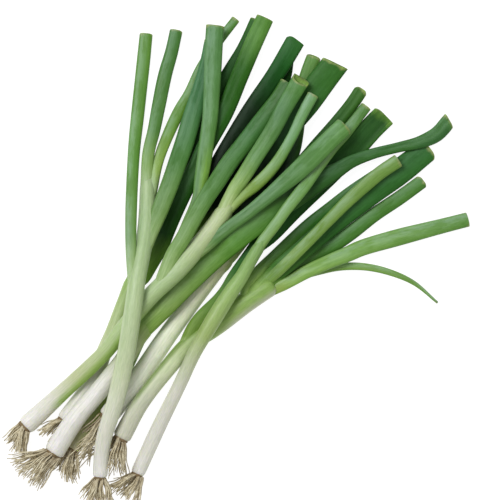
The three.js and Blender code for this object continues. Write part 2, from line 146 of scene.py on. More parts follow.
# a tube through the rings: round about it, u runs once about and v runs along in metres
def tube(name, rings, sides, shape):
    bm = bmesh.new()
    bmesh.ops.create_circle(bm, cap_ends=False, radius=1, segments=sides)
    bmesh.ops.spin(bm, geom=bm.edges[:], cent=(0, 0, 0), axis=(0, 0, 1), dvec=(0, 0, 1),
                   angle=0, steps=len(rings) - 1, use_merge=False, use_duplicate=False)
    bmesh.ops.holes_fill(bm, edges=[e for e in bm.edges if e.is_boundary], sides=0)
    skin = bm.loops.layers.uv.new("skin")
    for face in bm.faces:
        turns = [(math.atan2(loop.vert.co.y, loop.vert.co.x) / math.tau) % 1 for loop in face.loops]
        if len(face.verts) == 4 and max(turns) - min(turns) > 0.5:
            turns = [t + 1 if t < 0.5 else t for t in turns]
        for loop, turn in zip(face.loops, turns):
            loop[skin].uv = (turn, rings[round(loop.vert.co.z)]["along"] / 1000)
    for vert in bm.verts:
        ring = rings[round(vert.co.z)]
        vert.co = shape(ring, vert.co.x, vert.co.y)
    bmesh.ops.recalc_face_normals(bm, faces=bm.faces)
    for face in bm.faces:
        face.smooth = True
    mesh = bpy.data.meshes.new(name)
    bm.to_mesh(mesh)
    bm.free()
    piece = bpy.data.objects.new(name, mesh)
    bpy.context.collection.objects.link(piece)
    return piece


def finished(piece, node, material):
    piece.data.materials.append(material)
    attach(piece, "root")
    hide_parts(node)
    return piece


# materials
def newMaterial(name):
    material = bpy.data.materials.new(name)
    material.use_nodes = True
    tree = material.node_tree
    return material, tree, tree.nodes["Principled BSDF"]


def noiseOn(tree, source, scale, detail, roughness=0.5):
    noise = tree.nodes.new("ShaderNodeTexNoise")
    noise.inputs["Scale"].default_value = scale
    noise.inputs["Detail"].default_value = detail
    noise.inputs["Roughness"].default_value = roughness
    tree.links.new(source, noise.inputs["Vector"])
    return noise.outputs["Fac"]


def rampOf(tree, source, stops):
    ramp = tree.nodes.new("ShaderNodeValToRGB")
    elements = ramp.color_ramp.elements
    while len(elements) < len(stops):
        elements.new(0.5)
    for element, (place, colour) in zip(elements, stops):
        element.position = place
        element.color = (*colour, 1)
    tree.links.new(source, ramp.inputs["Fac"])
    return ramp.outputs["Color"]


def mixed(tree, share, a, b, kind="MIX"):
    mix = tree.nodes.new("ShaderNodeMix")
    mix.data_type = "RGBA"
    mix.blend_type = kind
    for socket, value in ((mix.inputs["Factor"], share), (mix.inputs[6], a), (mix.inputs[7], b)):
        if isinstance(value, bpy.types.NodeSocket):
            tree.links.new(value, socket)
        else:
            socket.default_value = value
    return mix.outputs[2]


def scaledRange(tree, source, low, high, outLow, outHigh):
    scaler = tree.nodes.new("ShaderNodeMapRange")
    for name, value in (("From Min", low), ("From Max", high), ("To Min", outLow), ("To Max", outHigh)):
        scaler.inputs[name].default_value = value
    tree.links.new(source, scaler.inputs["Value"])
    return scaler.outputs["Result"]


def linear(red, green, blue):
    shares = [value / 255 for value in (red, green, blue)]
    return tuple(((s + 0.055) / 1.055) ** 2.4 if s > 0.04045 else s / 12.92 for s in shares)


# the skin's own coordinates: u about, v along, stretched so that noise draws out into veins
def skinLines(tree, about, along, offset):
    uv = tree.nodes.new("ShaderNodeUVMap")
    uv.uv_map = "skin"
    mapping = tree.nodes.new("ShaderNodeMapping")
    mapping.inputs["Scale"].default_value = (about, along, 1)
    mapping.inputs["Location"].default_value = (offset, offset * 0.37, offset * 0.11)
    tree.links.new(uv.outputs["UV"], mapping.inputs["Vector"])
    return mapping.outputs["Vector"]


def skinParts(tree):
    uv = tree.nodes.new("ShaderNodeUVMap")
    uv.uv_map = "skin"
    split = tree.nodes.new("ShaderNodeSeparateXYZ")
    tree.links.new(uv.outputs["UV"], split.inputs["Vector"])
    return split.outputs["X"], split.outputs["Y"]


def times(tree, a, b):
    product = tree.nodes.new("ShaderNodeMath")
    product.operation = "MULTIPLY"
    for socket, value in zip(product.inputs, (a, b)):
        if isinstance(value, bpy.types.NodeSocket):
            tree.links.new(value, socket)
        else:
            socket.default_value = value
    return product.outputs[0]


def grey(stops):
    return [(place, (value, value, value)) for place, value in stops]


# tones run from the root end to the tip; bands are patches given by place about and along the skin
def skinMaterial(name, stops, span, seed, look):
    material, tree, shader = newMaterial(name)
    u, v = skinParts(tree)
    wander = noiseOn(tree, skinLines(tree, 6, 22, seed), 1, 2)
    drift = scaledRange(tree, wander, 0, 1, -0.004, 0.004)
    moved = tree.nodes.new("ShaderNodeMath")
    moved.operation = "ADD"
    tree.links.new(v, moved.inputs[0])
    tree.links.new(drift, moved.inputs[1])
    along = scaledRange(tree, moved.outputs[0], 0, span / 1000, 0, 1)
    tone = rampOf(tree, along, [(place / span, colour) for place, colour in stops])
    streaks = noiseOn(tree, skinLines(tree, 26, 2.4, seed + 11), 1, 3, 0.55)
    streakTone = rampOf(tree, streaks, [(0.36, look["streakTone"]), (0.64, (1.06, 1.05, 1.04))])
    tone = mixed(tree, look["streaks"], tone, streakTone, "MULTIPLY")
    fineVeins = noiseOn(tree, skinLines(tree, 80, 8, seed + 3), 1, 3, 0.6)
    veinTone = rampOf(tree, fineVeins, [(0.32, (0.68, 0.72, 0.64)), (0.68, (1.06, 1.05, 1.03))])
    tone = mixed(tree, look["veins"], tone, veinTone, "MULTIPLY")
    patches = noiseOn(tree, skinLines(tree, 5, 45, seed + 7), 1, 4, 0.6)
    patchTone = rampOf(tree, patches, [(0.4, (0.78, 0.86, 0.66)), (0.58, (1.08, 1.05, 1.06))])
    tone = mixed(tree, look["mottle"], tone, patchTone, "MULTIPLY")
    # painted shade: this ramp about the skin darkens the left rim a little and the right flank and the
    # underside most, the sides that face away from the key light
    edges = rampOf(tree, u, [(0.0, (0.58, 0.70, 0.52)), (0.08, (0.96, 0.98, 0.94)), (0.2, (1, 1, 1)),
                             (0.34, (0.96, 0.99, 0.86)), (0.44, (0.80, 0.90, 0.56)),
                             (0.5, (0.52, 0.64, 0.36)), (0.75, (0.50, 0.62, 0.42)),
                             (1.0, (0.58, 0.70, 0.52))])
    tone = mixed(tree, look["edges"], tone, edges, "MULTIPLY")
    # painted sheen with waxy bloom: a bluish grey laid on the upper left of the skin, partly the skin's own
    # wax, partly a painted reflection of the light
    bloomAndSheen = rampOf(tree, u, grey([(0.0, 0.0), (0.07, 0.35), (0.15, 1.0), (0.24, 0.6), (0.34, 0.0)]))
    bloomAndSheen = times(tree, bloomAndSheen, scaledRange(tree, patches, 0.42, 0.54, 0.12, 1.0))
    tone = mixed(tree, times(tree, bloomAndSheen, look["bloomAndSheen"]), tone, (*linear(158, 190, 172), 1))
    for band in look["bands"]:
        window = []
        for place, value in band["along"]:
            fromRoot = place if place > 0 else look["total"] + place
            window.append((fromRoot / span, value))
        where = times(tree, rampOf(tree, u, grey(band["about"])), rampOf(tree, along, grey(window)))
        where = times(tree, where, scaledRange(tree, streaks, 0.35, 0.6, 0.55, 1.0))
        tone = mixed(tree, where, tone, (*band["tone"], 1))
    flecks = noiseOn(tree, skinLines(tree, 46, 200, seed + 17), 1, 3)
    tone = mixed(tree, 0.5, tone, rampOf(tree, flecks, [(0.3, (0.8, 0.85, 0.75)), (0.7, (1.16, 1.12, 1.14))]),
                 "MULTIPLY")
    tree.links.new(tone, shader.inputs["Base Color"])
    rough = scaledRange(tree, patches, 0.3, 0.7, look["gloss"] - 0.05, look["gloss"] + 0.1)
    tree.links.new(rough, shader.inputs["Roughness"])
    bump = tree.nodes.new("ShaderNodeBump")
    bump.inputs["Strength"].default_value = 0.3
    bump.inputs["Distance"].default_value = 0.0004
    tree.links.new(fineVeins, bump.inputs["Height"])
    tree.links.new(bump.outputs["Normal"], shader.inputs["Normal"])
    shader.inputs["Specular IOR Level"].default_value = look["shine"]
    shader.inputs["Subsurface Weight"].default_value = look["glow"]
    shader.inputs["Subsurface Radius"].default_value = (0.004, 0.005, 0.002)
    shader.inputs["Subsurface Scale"].default_value = 0.6
    return material


def fibreMaterial(name, light, dark, brown):
    material, tree, shader = newMaterial(name)
    place = tree.nodes.new("ShaderNodeTexCoord").outputs["Object"]
    tone = rampOf(tree, noiseOn(tree, place, 320, 4), [(0.35, dark), (0.6, light)])
    reach = tree.nodes.new("ShaderNodeAttribute")
    reach.attribute_name = "reach"
    stain = rampOf(tree, reach.outputs["Fac"], grey([(0.0, 0.8), (0.18, 0.45), (0.4, 0.0)]))
    tone = mixed(tree, stain, tone, (*brown, 1))
    tree.links.new(tone, shader.inputs["Base Color"])
    shader.inputs["Roughness"].default_value = 0.75
    return material


def eased(share):
    share = min(max(share, 0), 1)
    return share * share * (3 - 2 * share)


# shanks: a tube that draws in to the basal plate and closes inside the leaves that leave it
shanks = {}
rimTone = linear(142, 152, 106)
insideTone = linear(150, 182, 96)


def makeShank(onion, facts):
    node = f"{onion}_shank"
    path = liftedPath(node, facts["route"], shankBuild)
    total = path[-1]["along"]
    closing = facts.get("closing", 8)
    mouth = facts.get("mouth", 0.72)
    rings = []
    plateDepth, bodyStarts = 2.6, 4
    for share, shrink in ((0.0, 0.74), (0.2, 0.88), (0.55, 0.97), (1.0, 1.0)):
        rings.append({**path[0], "shrink": shrink, "advance": share * plateDepth})
    for s in path[1:]:
        if s["along"] > bodyStarts:
            shrink = mouth + (1 - mouth) * eased((total - s["along"]) / closing)
            rings.append({**s, "shrink": shrink, "advance": 0})
    rings.append({**path[-1], "shrink": mouth * 0.6, "advance": 0.8})
    seed = facts["seed"]

    def shape(ring, across, lift):
        wave = 1.025 + 0.014 * math.sin(ring["along"] * 0.055 + seed) + 0.01 * math.sin(ring["along"] * 0.13)
        width = ring["width"] * ring["shrink"] * wave
        height = ring["height"] * ring["shrink"]
        at = ring["at"] + ring["ahead"] * ring["advance"]
        at += ring["side"] * across * width / 2 + ring["up"] * lift * height / 2
        at.z = max(at.z, 0.0)
        return intoFrame(at.x, at.y, at.z)

    piece = tube(f"{onion}_shank_skin", rings, shankBuild["sides"], shape)
    stops = [(place * total, colour) for place, colour in facts["tones"]]
    # edges is the share of painted shade on the flanks and underside, bloom the share of painted sheen with
    # waxy bloom
    look = {"streaks": 0.5, "streakTone": (0.82, 0.85, 0.78), "veins": 0.22, "mottle": 0.14, "edges": 0.3,
            "bloomAndSheen": 0.05, "gloss": 0.38, "shine": 0.32, "glow": 0.2, "total": total,
            "bands": facts.get("bands", [])}
    finished(piece, node, skinMaterial(f"{onion} shank skin", stops, total, seed, look))
    shanks[onion] = {"path": path, "stops": stops}
    return path


# millimetres: how a leaf's hidden start lies in its shank
rooting = {"inside": 0.86, "rings": 10, "turnsWithin": 16, "narrowsWithin": 25, "clearance": 5}


# a leaf starts inside its shank and comes out of it over its first stretch
def rooted(path, shank, sink):
    first = path[0]
    nearest = min(range(len(shank)), key=lambda i: (shank[i]["at"].xy - first["at"].xy).length)
    share = 0
    for s in path:
        near = min(shank, key=lambda p: (p["at"].xy - s["at"].xy).length)
        apart = (near["at"].xy - s["at"].xy).length
        clear = (near["width"] + s["width"]) / 2 + rooting["clearance"]
        share = max(share, eased(apart / clear), eased((s["along"] - sink * 0.3) / sink))
        s["at"] = Vector((s["at"].x, s["at"].y, near["at"].z * (1 - share) + s["at"].z * share))
        flat = eased(s["along"] / sink / 0.65)
        s["height"] = s["height"] * flat + min(near["height"] * rooting["inside"], s["width"]) * (1 - flat)
    inner = []
    for i in range(rooting["rings"], 0, -1):
        behind = i * shankBuild["spacing"]
        near = shank[max(nearest - i, 0)]
        straight = first["at"] - first["ahead"] * behind
        share = eased(behind / rooting["turnsWithin"])
        ahead = first["ahead"].lerp(near["ahead"], share).normalized()
        side = Vector((-ahead.y, ahead.x, 0)).normalized()
        thinner = eased(behind / rooting["narrowsWithin"])
        inner.append({**first, "along": -behind, "ahead": ahead, "side": side, "up": ahead.cross(side),
                      "at": straight.lerp(near["at"], share), "width": first["width"] * (1 - 0.7 * thinner),
                      "height": near["height"] * (rooting["inside"] - 0.55 * thinner)})
    return inner + path


def toneAt(stops, place):
    for (a, before), (b, after) in zip(stops, stops[1:]):
        if place <= b:
            share = max(place - a, 0) / (b - a)
            return tuple(p * (1 - share) + q * share for p, q in zip(before, after))
    return stops[-1][1]


# leaves: a hollow blade whose cut end shows its wall; left is across +1, the top is lift +1
def makeLeaf(node, facts):
    path = liftedPath(node, facts["route"], leafBuild)
    total = path[-1]["along"]
    shank = shanks[node[:7]]
    path = rooted(path, shank["path"], facts.get("sink", 40))
    wall = facts.get("wall", 0.6)
    slant = facts.get("slant", 0)
    roundLeft, roundRight = facts.get("corners", (0.4, 0.4))
    opened = facts.get("opened", 0)
    gutter = facts.get("gutter", 0)
    dents = facts.get("dents", [])
    seed = facts["seed"]
    rings = [{**s, "inset": 0.0, "advance": 0.0} for s in path]
    if not facts.get("pointed"):  # the wall turns in at the cut end and runs back inside
        end = path[-1]
        rings[-1]["advance"] = -0.25
        rings.append({**end, "inset": wall * 0.3, "advance": 0.0})
        rings.append({**end, "inset": wall * 0.8, "advance": 0.0, "along": total + 0.4})
        for back in range(1, 8):
            deep = total + back * leafBuild["spacing"]
            rings.append({**path[-1 - back], "inset": wall, "advance": 0.0, "along": deep})

    def shape(ring, across, lift):
        left = abs(total - ring["along"])
        wave = 1.02 + 0.016 * math.sin(left * 0.04 + seed) + 0.012 * math.sin(left * 0.11 + seed * 2)
        half = ring["width"] * wave / 2
        tall = ring["height"] / 2
        fuller = math.copysign(abs(lift) ** 0.8, lift)
        fade = eased((ring["along"] - 6) / 30)
        drop = 0
        for place, depth, spread in dents:
            if lift > 0:
                drop += depth * fade * math.exp(-((across - place) / spread) ** 2)
        half = max(half - ring["inset"], leafBuild["thinnest"])
        high = max(tall - ring["inset"], leafBuild["thinnest"])
        if gutter and lift > 0:
            drop += tall * 1.25 * eased(1 - left / gutter) * eased((1 - abs(across)) / 0.45)
        at = ring["at"] + ring["side"] * across * half
        at += ring["up"] * (fuller * high - min(drop, high * 0.9 + tall * 0.4) * max(lift, 0))
        corner = roundLeft if across > 0 else roundRight
        lean = slant * across * half - corner * across ** 4 - opened * max(lift, 0) ** 0.7
        at += ring["ahead"] * (ring["advance"] + lean * math.exp(-left / leafBuild["cutReach"]))
        at.z = max(at.z, 0.0)
        return intoFrame(at.x, at.y, at.z)

    piece = tube(f"{node}_skin", rings, leafBuild["sides"], shape)
    leaves = min(shank["path"], key=lambda p: (p["at"].xy - path[rooting["rings"]]["at"].xy).length)
    stops = [(3, toneAt(shank["stops"], leaves["along"]))]
    # the greens run from root to tip and carry painted shade too: leaves that lie under others get darker
    # greens where the leaves above shade them
    stops += [(place, linear(*colour)) for place, colour in facts["greensAndShade"]]
    # past the cut rim the inner wall runs from its own pale green into painted shade, dark green deep inside
    # the hollow
    stops += [(total - 1.6, stops[-1][1]), (total - 0.1, rimTone), (total + 1.5, insideTone),
              (total + 15, linear(52, 84, 40))]
    lit = min(facts["greensAndShade"][-2][1][1] / 150, 1)  # dark leaves carry less painted sheen and bloom, and shine less
    # edges is the share of painted shade on the flanks and underside, bloom the share of painted sheen with
    # waxy bloom
    look = {"streaks": 0.5, "streakTone": (0.76, 0.84, 0.62), "veins": 0.34, "mottle": 0.6, "edges": 0.85,
            "bloomAndSheen": 0.32 * lit ** 4, "gloss": 0.42, "shine": 0.34 * lit ** 2.5, "glow": 0.05,
            "total": total, "bands": facts.get("bands", [])}
    return finished(piece, node, skinMaterial(f"{node} skin", stops, total + 18, seed, look))


# millimetres and radians: one dry strand, and the turn from one clump to the next about the plate
strandBuild = {"thickness": 1.05, "stretches": 9, "clumpTurn": 2.4}
# the corky plate at the shank's end: how far out of it each ring is, and its share of the width
plateRings = ((-1.2, 0.50), (-0.4, 0.80), (0.6, 0.84), (1.5, 0.74), (2.2, 0.50))
plateSides = 22


# root tufts: fine dry strands out of a brown basal plate
def makeTuft(onion, path, facts):
    random.seed(facts["seed"])
    node = f"{onion}_roots"
    base = path[0]
    back = Vector((-base["ahead"].x, -base["ahead"].y, 0)).normalized()
    side = Vector((-back.y, back.x, 0))
    rings = [{"out": out, "size": size, "along": out} for out, size in plateRings]

    def shape(ring, across, lift):
        rough = 1 + 0.06 * math.sin(across * 7 + lift * 5 + facts["seed"])
        at = base["at"] + back * ring["out"]
        at += side * across * base["width"] * ring["size"] * rough / 2
        at += Vector((0, 0, 1)) * lift * base["height"] * ring["size"] * rough / 2
        return intoFrame(at.x, at.y, max(at.z, 0.0))

    plate = tube(f"{onion}_basal_plate", rings, plateSides, shape)
    brown = linear(112, 92, 60)
    corky = fibreMaterial(f"{onion} basal plate", linear(150, 130, 96), linear(104, 84, 54), brown)
    plate.data.materials.append(corky)
    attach(plate, "root")
    curve = bpy.data.curves.new(f"{onion}_strands", "CURVE")
    curve.dimensions = "3D"
    curve.bevel_depth = 0.001
    curve.bevel_resolution = 1
    curve.use_fill_caps = True
    heading = math.atan2(back.y, back.x)
    clumps = []
    steps = strandBuild["stretches"]
    for i in range(facts["clumps"]):
        reach = math.sqrt((i + 0.5) / facts["clumps"])
        about = i * strandBuild["clumpTurn"]
        clumps.append({"across": reach * math.cos(about), "lift": reach * math.sin(about),
                       "turn": random.gauss(0, 7), "curl": random.gauss(0, 20),
                       "wobble": random.uniform(0, 6), "length": random.uniform(*facts["lengths"])})
    for i in range(facts["strands"]):
        clump = clumps[i % len(clumps)]
        across = clump["across"] + random.gauss(0, 0.13)
        lift = clump["lift"] + random.gauss(0, 0.13)
        at = base["at"] + back * random.uniform(0.2, 1.2)
        at += side * across * base["width"] * 0.4 + Vector((0, 0, lift * base["height"] * 0.36))
        fanned = facts["lean"] + across * facts["spread"] + clump["turn"] + random.gauss(0, 3.5)
        start = heading + math.radians(fanned)
        curl = math.radians(clump["curl"] + random.gauss(0, 9))
        length = clump["length"] * random.uniform(0.78, 1.05)
        droop = random.uniform(0.4, 1.0)
        spline = curve.splines.new("POLY")
        spline.points.add(steps)
        for k in range(steps + 1):
            spot = intoFrame(at.x, at.y, at.z)
            spline.points[k].co = (*spot, 1)
            thinned = strandBuild["thickness"] * (0.5 - 0.26 * k / steps)
            spline.points[k].radius = thinned * random.uniform(0.88, 1.12)
            stride = length / steps
            turn = start + curl * (k / steps) ** 1.3 + 0.14 * math.sin(clump["wobble"] + k * 1.1)
            slope = lift * 0.4 - droop * k / steps
            at = at + Vector((math.cos(turn), math.sin(turn), slope)) * stride
            at.z = max(at.z, strandBuild["thickness"] * 0.5)
    holder = bpy.data.objects.new(f"{onion}_strand_curves", curve)
    bpy.context.collection.objects.link(holder)
    mesh = bpy.data.meshes.new_from_object(holder.evaluated_get(bpy.context.evaluated_depsgraph_get()))
    mesh.name = f"{onion}_strands"
    bpy.data.objects.remove(holder)
    strands = bpy.data.objects.new(f"{onion}_strands", mesh)
    bpy.context.collection.objects.link(strands)
    for polygon in mesh.polygons:
        polygon.use_smooth = True
    mesh.materials.clear()
    rootPlace = intoFrame(*base["at"])
    reached = mesh.attributes.new("reach", "FLOAT", "POINT")
    for vert, value in zip(mesh.vertices, reached.data):
        value.value = (vert.co - rootPlace).length * 1000 / facts["lengths"][1]
    return finished(strands, node, fibreMaterial(f"{onion} dry root", linear(214, 205, 176),
                                                           linear(166, 152, 120), brown))


white = linear(229, 225, 226)
cream = linear(217, 215, 207)
pale = linear(190, 200, 160)
paleGreen = linear(166, 186, 128)
fresh = linear(138, 172, 88)


print("stage: onion_4, lowest")
shankTones = [(0.0, white), (0.30, cream), (0.55, pale), (0.8, paleGreen), (1.0, fresh)]
onion4 = makeShank("onion_4", {
    "route": [(-115.5, -130, 9), (-97.5, -101, 9.5), (-83, -79.5, 9.5), (-71.5, -55, 10),
              (-55, -26, 10.5), (-45, -3, 11), (-38, 14, 11)],
    "tones": [(0.0, linear(186, 180, 150)), (0.2, linear(150, 170, 84)), (0.45, fresh), (1.0, fresh)],
    "seed": 4})
# the greens of onion_4's leaves are painted shade, nearly black, as they lie lowest under the others
makeLeaf("onion_4_leaf_2", {
    "route": [(-39, 3, 9), (-31, 14, 10.5), (-23.5, 25, 11), (-11.5, 45, 11), (-1, 64, 10),
              (8.5, 84, 9), (17, 101, 8.5), (22.5, 112, 8.5), (24.3, 123, 8.5), (24.8, 130, 8)],
    "greensAndShade": [(30, (20, 42, 20)), (130, (30, 66, 30))],
    "seed": 42})
makeLeaf("onion_4_leaf_1", {
    "route": [(-39, 10, 10.5), (-31, 29, 11.5), (-22, 51.5, 12.5), (-9.5, 73.5, 12.5),
              (3.2, 94.5, 12.2), (17.3, 115.5, 11.8), (30.2, 137.3, 12.4)],
    "greensAndShade": [(18, (14, 30, 14)), (90, (12, 36, 12)), (128, (30, 86, 32)), (150, (58, 110, 58))],
    "seed": 41, "dents": [(-0.35, 0.5, 0.3)], "slant": 0.1, "corners": (2.6, 0.2)})
makeTuft("onion_4", onion4, {"lean": 8, "lengths": (16, 24), "spread": 24, "strands": 86,
                             "clumps": 9, "seed": 104})

print("stage: onion_3")
onion3 = makeShank("onion_3", {
    "route": [(-121.5, -111, 10), (-108, -93, 10), (-99, -78, 10), (-95, -66.5, 10),
              (-89.3, -53.5, 9.6), (-84.7, -41, 9.3), (-79.8, -28, 9), (-75.3, -16, 9.5)],
    "tones": shankTones, "seed": 3})
# the dark greens of onion_3's leaves are painted shade from the leaves lying over them
makeLeaf("onion_3_leaf_2", {
    "route": [(-77, -18, 6), (-64, 9, 8), (-55, 24, 8), (-44, 46, 8.5), (-32, 76, 9), (-20, 105, 9),
              (-13.5, 116, 9), (-4, 131.5, 9), (4.5, 150.5, 8)],
    "greensAndShade": [(40, (28, 60, 24)), (160, (36, 80, 30)), (180, (58, 106, 50))],
    "seed": 32})
makeLeaf("onion_3_leaf_1", {
    "route": [(-70, -16, 11.5), (-59.2, 3.4, 13.2), (-54.3, 15, 12.8), (-49.1, 26.4, 12.2),
              (-42, 40.5, 11.5), (-34.5, 55, 11.5), (-28.5, 68, 11.5), (-16, 91, 11.5),
              (-6.5, 114, 11.5), (1.5, 133, 11.5), (10, 151.5, 11.5)],
    "greensAndShade": [(30, (34, 74, 26)), (110, (40, 90, 26)), (150, (46, 96, 26)), (172, (92, 138, 66))],
    "seed": 31, "dents": [(0.2, 0.6, 0.25)]})
makeTuft("onion_3", onion3, {"lean": -12, "lengths": (13, 18), "spread": 24, "strands": 70,
                             "clumps": 8, "seed": 103})

print("stage: onion_6")
onion6 = makeShank("onion_6", {
    "route": [(-93, -109, 12.8), (-72, -82.5, 12.8), (-56.2, -59.2, 12.2), (-39.4, -35.7, 12),
              (-24, -15, 11.8), (-12, 0, 11.5)],
    # painted light: the middle tones are whiter than the skin's own white, to lift the shade that the shanks
    # beside it cast
    "tones": [(0.0, white), (0.2, linear(246, 247, 238)), (0.6, linear(236, 240, 218)),
              (0.92, linear(200, 202, 164)), (1.0, paleGreen)],
    "seed": 6})
# the dark greens along the lower stretch of onion_6's leaves are painted shade from the leaves over them
makeLeaf("onion_6_leaf_3", {
    "route": [(-14, -2, 8), (2.5, 17.3, 10), (13.8, 36.5, 10.5), (26.5, 60, 9.5), (30.5, 78, 9.5),
              (32, 94, 9), (36.5, 112, 9), (42, 127, 9.6)],
    "greensAndShade": [(24, (24, 54, 22)), (66, (24, 54, 24)), (104, (70, 116, 52)), (128, (98, 142, 74))],
    "seed": 63, "corners": (1.2, 1.2), "opened": 1.0})
makeLeaf("onion_6_leaf_2", {
    "route": [(-16, -6, 10), (-7.5, 14.5, 14), (1.2, 37.5, 16), (11.5, 60, 16), (24, 80.5, 17),
              (36.5, 96, 17.5), (46, 109, 18), (56, 122, 17.5)],
    "greensAndShade": [(20, (20, 44, 18)), (66, (14, 36, 16)), (105, (42, 90, 42)), (132, (60, 110, 50))],
    "seed": 62, "dents": [(-0.5, 0.5, 0.25)], "slant": -0.22, "opened": 1.0})
makeLeaf("onion_6_leaf_1", {
    "route": [(-12, -3, 9), (4, 18, 9), (17, 36.5, 9.5), (32, 54, 9.5), (43, 67, 9.5), (56, 82, 9.5),
              (66, 94.5, 9.3), (73.2, 105.3, 8.8)],
    "greensAndShade": [(40, (26, 62, 24)), (105, (42, 86, 30)), (136, (68, 112, 50))],
    "seed": 61, "dents": [(0.1, 1.1, 0.22)], "corners": (2.0, 2.0)})
makeTuft("onion_6", onion6, {"lean": 12, "lengths": (24, 42), "spread": 17, "strands": 78,
                             "clumps": 9, "seed": 106})

print("stage: onion_7")
onion7 = makeShank("onion_7", {
    "route": [(-83.8, -122.2, 11.8), (-71.9, -100.8, 10.6), (-55.3, -79, 10.8), (-39.5, -61.5, 12),
              (-23, -49.5, 13.5), (-3.5, -34.5, 13.5), (14.5, -22.5, 13)],
    "tones": [(0.0, linear(206, 204, 192)), (0.2, linear(200, 202, 184)), (0.4, linear(204, 214, 178)),
              (0.62, linear(150, 178, 96)), (0.9, linear(140, 172, 92)),
              (1.0, fresh)],
    "seed": 7, "closing": 3, "mouth": 0.86,
    # the first band is painted shade: an olive strip along the left flank, where onion_6 beside it shades the
    # skin
    "bands": [{"about": [(0.0, 1), (0.13, 0.9), (0.2, 0)], "along": [(18, 0), (30, 0.9), (84, 1), (112, 0.4)],
               "tone": linear(98, 130, 34)},
              {"about": [(0.3, 0), (0.42, 1), (0.6, 1)], "along": [(92, 0), (110, 0.7), (140, 0.8)],
               "tone": linear(206, 206, 186)}]})
makeLeaf("onion_7_leaf_6", {
    "route": [(-43, -64.5, 9.4), (-34.8, -47.8, 9.2), (-20.6, -32.2, 7.6), (-15.9, -26, 7.2),
              (-11.2, -18.2, 7.8), (-6.1, -11.2, 8.5), (0, -3.4, 9.3), (5, 3, 10.2), (13, 9.8, 11.5),
              (27, 25, 13), (39, 37.5, 14), (53.5, 52, 14.6), (69.3, 68, 15), (79.3, 79.4, 15),
              (88.2, 88.2, 15)],
    "greensAndShade": [(8, (126, 152, 76)), (34, (112, 148, 74)), (62, (58, 110, 48)), (84, (40, 92, 36)),
               (150, (36, 84, 34)), (190, (56, 104, 44))],
    "seed": 76,
    # the first band is painted shade: a nearly black strip along the top near the end, where the leaf runs
    # under others
    "bands": [{"about": [(0.1, 0), (0.17, 1), (0.33, 1), (0.4, 0)],
               "along": [(150, 0), (180, 0.7), (206, 0.85)], "tone": linear(24, 62, 22)},
              {"about": [(0.0, 1), (1.0, 1)], "along": [(-7, 0), (-3, 0.55)],
               "tone": linear(104, 148, 58)}],
    "wall": 0.9, "gutter": 60, "corners": (1.6, 0.3)})
makeLeaf("onion_7_leaf_7", {
    "route": [(-1.5, -23, 8), (5.3, -14.5, 8), (15.5, -4.5, 7.5), (26.2, 6, 7.4), (38.2, 16.9, 7.6),
              (51.1, 27, 7.2), (65, 38, 6.8), (77.4, 46.7, 6.2), (85.7, 52.2, 6)],
    "greensAndShade": [(24, (84, 128, 60)), (60, (60, 118, 44)), (105, (60, 112, 46))],
    "seed": 77})
makeLeaf("onion_7_leaf_5", {
    "route": [(10, -24, 4), (27, -19, 5), (44, -14, 5), (58.5, -11, 5), (75, -11, 4.8), (91, -14.5, 4.2),
              (107, -21.5, 3), (122.5, -34.5, 1.2)],
    "greensAndShade": [(18, (132, 166, 88)), (60, (126, 164, 82)), (120, (110, 150, 72))],
    "seed": 75, "pointed": True})
makeLeaf("onion_7_leaf_3", {
    "route": [(3, -28, 8), (22, -13.5, 9.5), (48.3, -0.3, 10), (64.6, 10.4, 9.8), (81, 23, 9.5),
              (97.5, 34, 9.5), (113.2, 45.4, 8.8)],
    "greensAndShade": [(20, (92, 136, 66)), (60, (72, 124, 48)), (125, (80, 130, 56))],
    "seed": 73, "sink": 20, "corners": (1.8, 1.2)})
makeLeaf("onion_7_leaf_4", {
    "route": [(9, -28.5, 7), (21.5, -22.9, 7.4), (36.5, -14.4, 8.9), (53.4, -6.8, 8.8),
              (64, -2.6, 10.2), (72.5, 1.2, 10.4), (94, 7.5, 11), (117, 13.5, 10), (142.5, 20, 9.5)],
    "greensAndShade": [(10, (150, 172, 92)), (20, (144, 180, 96)), (60, (130, 172, 92)), (130, (102, 148, 72))],
    "seed": 74, "sink": 12, "dents": [(0.3, 0.6, 0.3)]})
makeLeaf("onion_7_leaf_2", {
    "route": [(4, -27, 11), (19, -13, 12), (37.5, 3, 12.5), (57, 19.8, 14), (77.3, 35.9, 16),
              (97.5, 51, 17), (117.3, 66.6, 15.2)],
    "greensAndShade": [(20, (76, 122, 56)), (60, (46, 98, 42)), (140, (52, 106, 50))],
    "seed": 72, "sink": 24, "dents": [(-0.3, 0.6, 0.3)], "corners": (0.3, 2.4)})
makeLeaf("onion_7_leaf_1", {
    "route": [(-6.5, -35.8, 7), (4, -26.5, 7.2), (16.4, -15.5, 7.2), (27.6, -4.6, 7.3),
              (39.1, 6.9, 7.4), (50.4, 18.5, 7.8), (63.7, 31.9, 8.4), (74.8, 41.9, 8.6),
              (84.8, 50.3, 8.8), (96.9, 58.4, 8.7)],
    "greensAndShade": [(16, (128, 162, 84)), (60, (118, 152, 72)), (120, (116, 152, 72))],
    "seed": 71})
makeTuft("onion_7", onion7, {"lean": 12, "lengths": (18, 27), "spread": 24, "strands": 70,
                             "clumps": 8, "seed": 107})

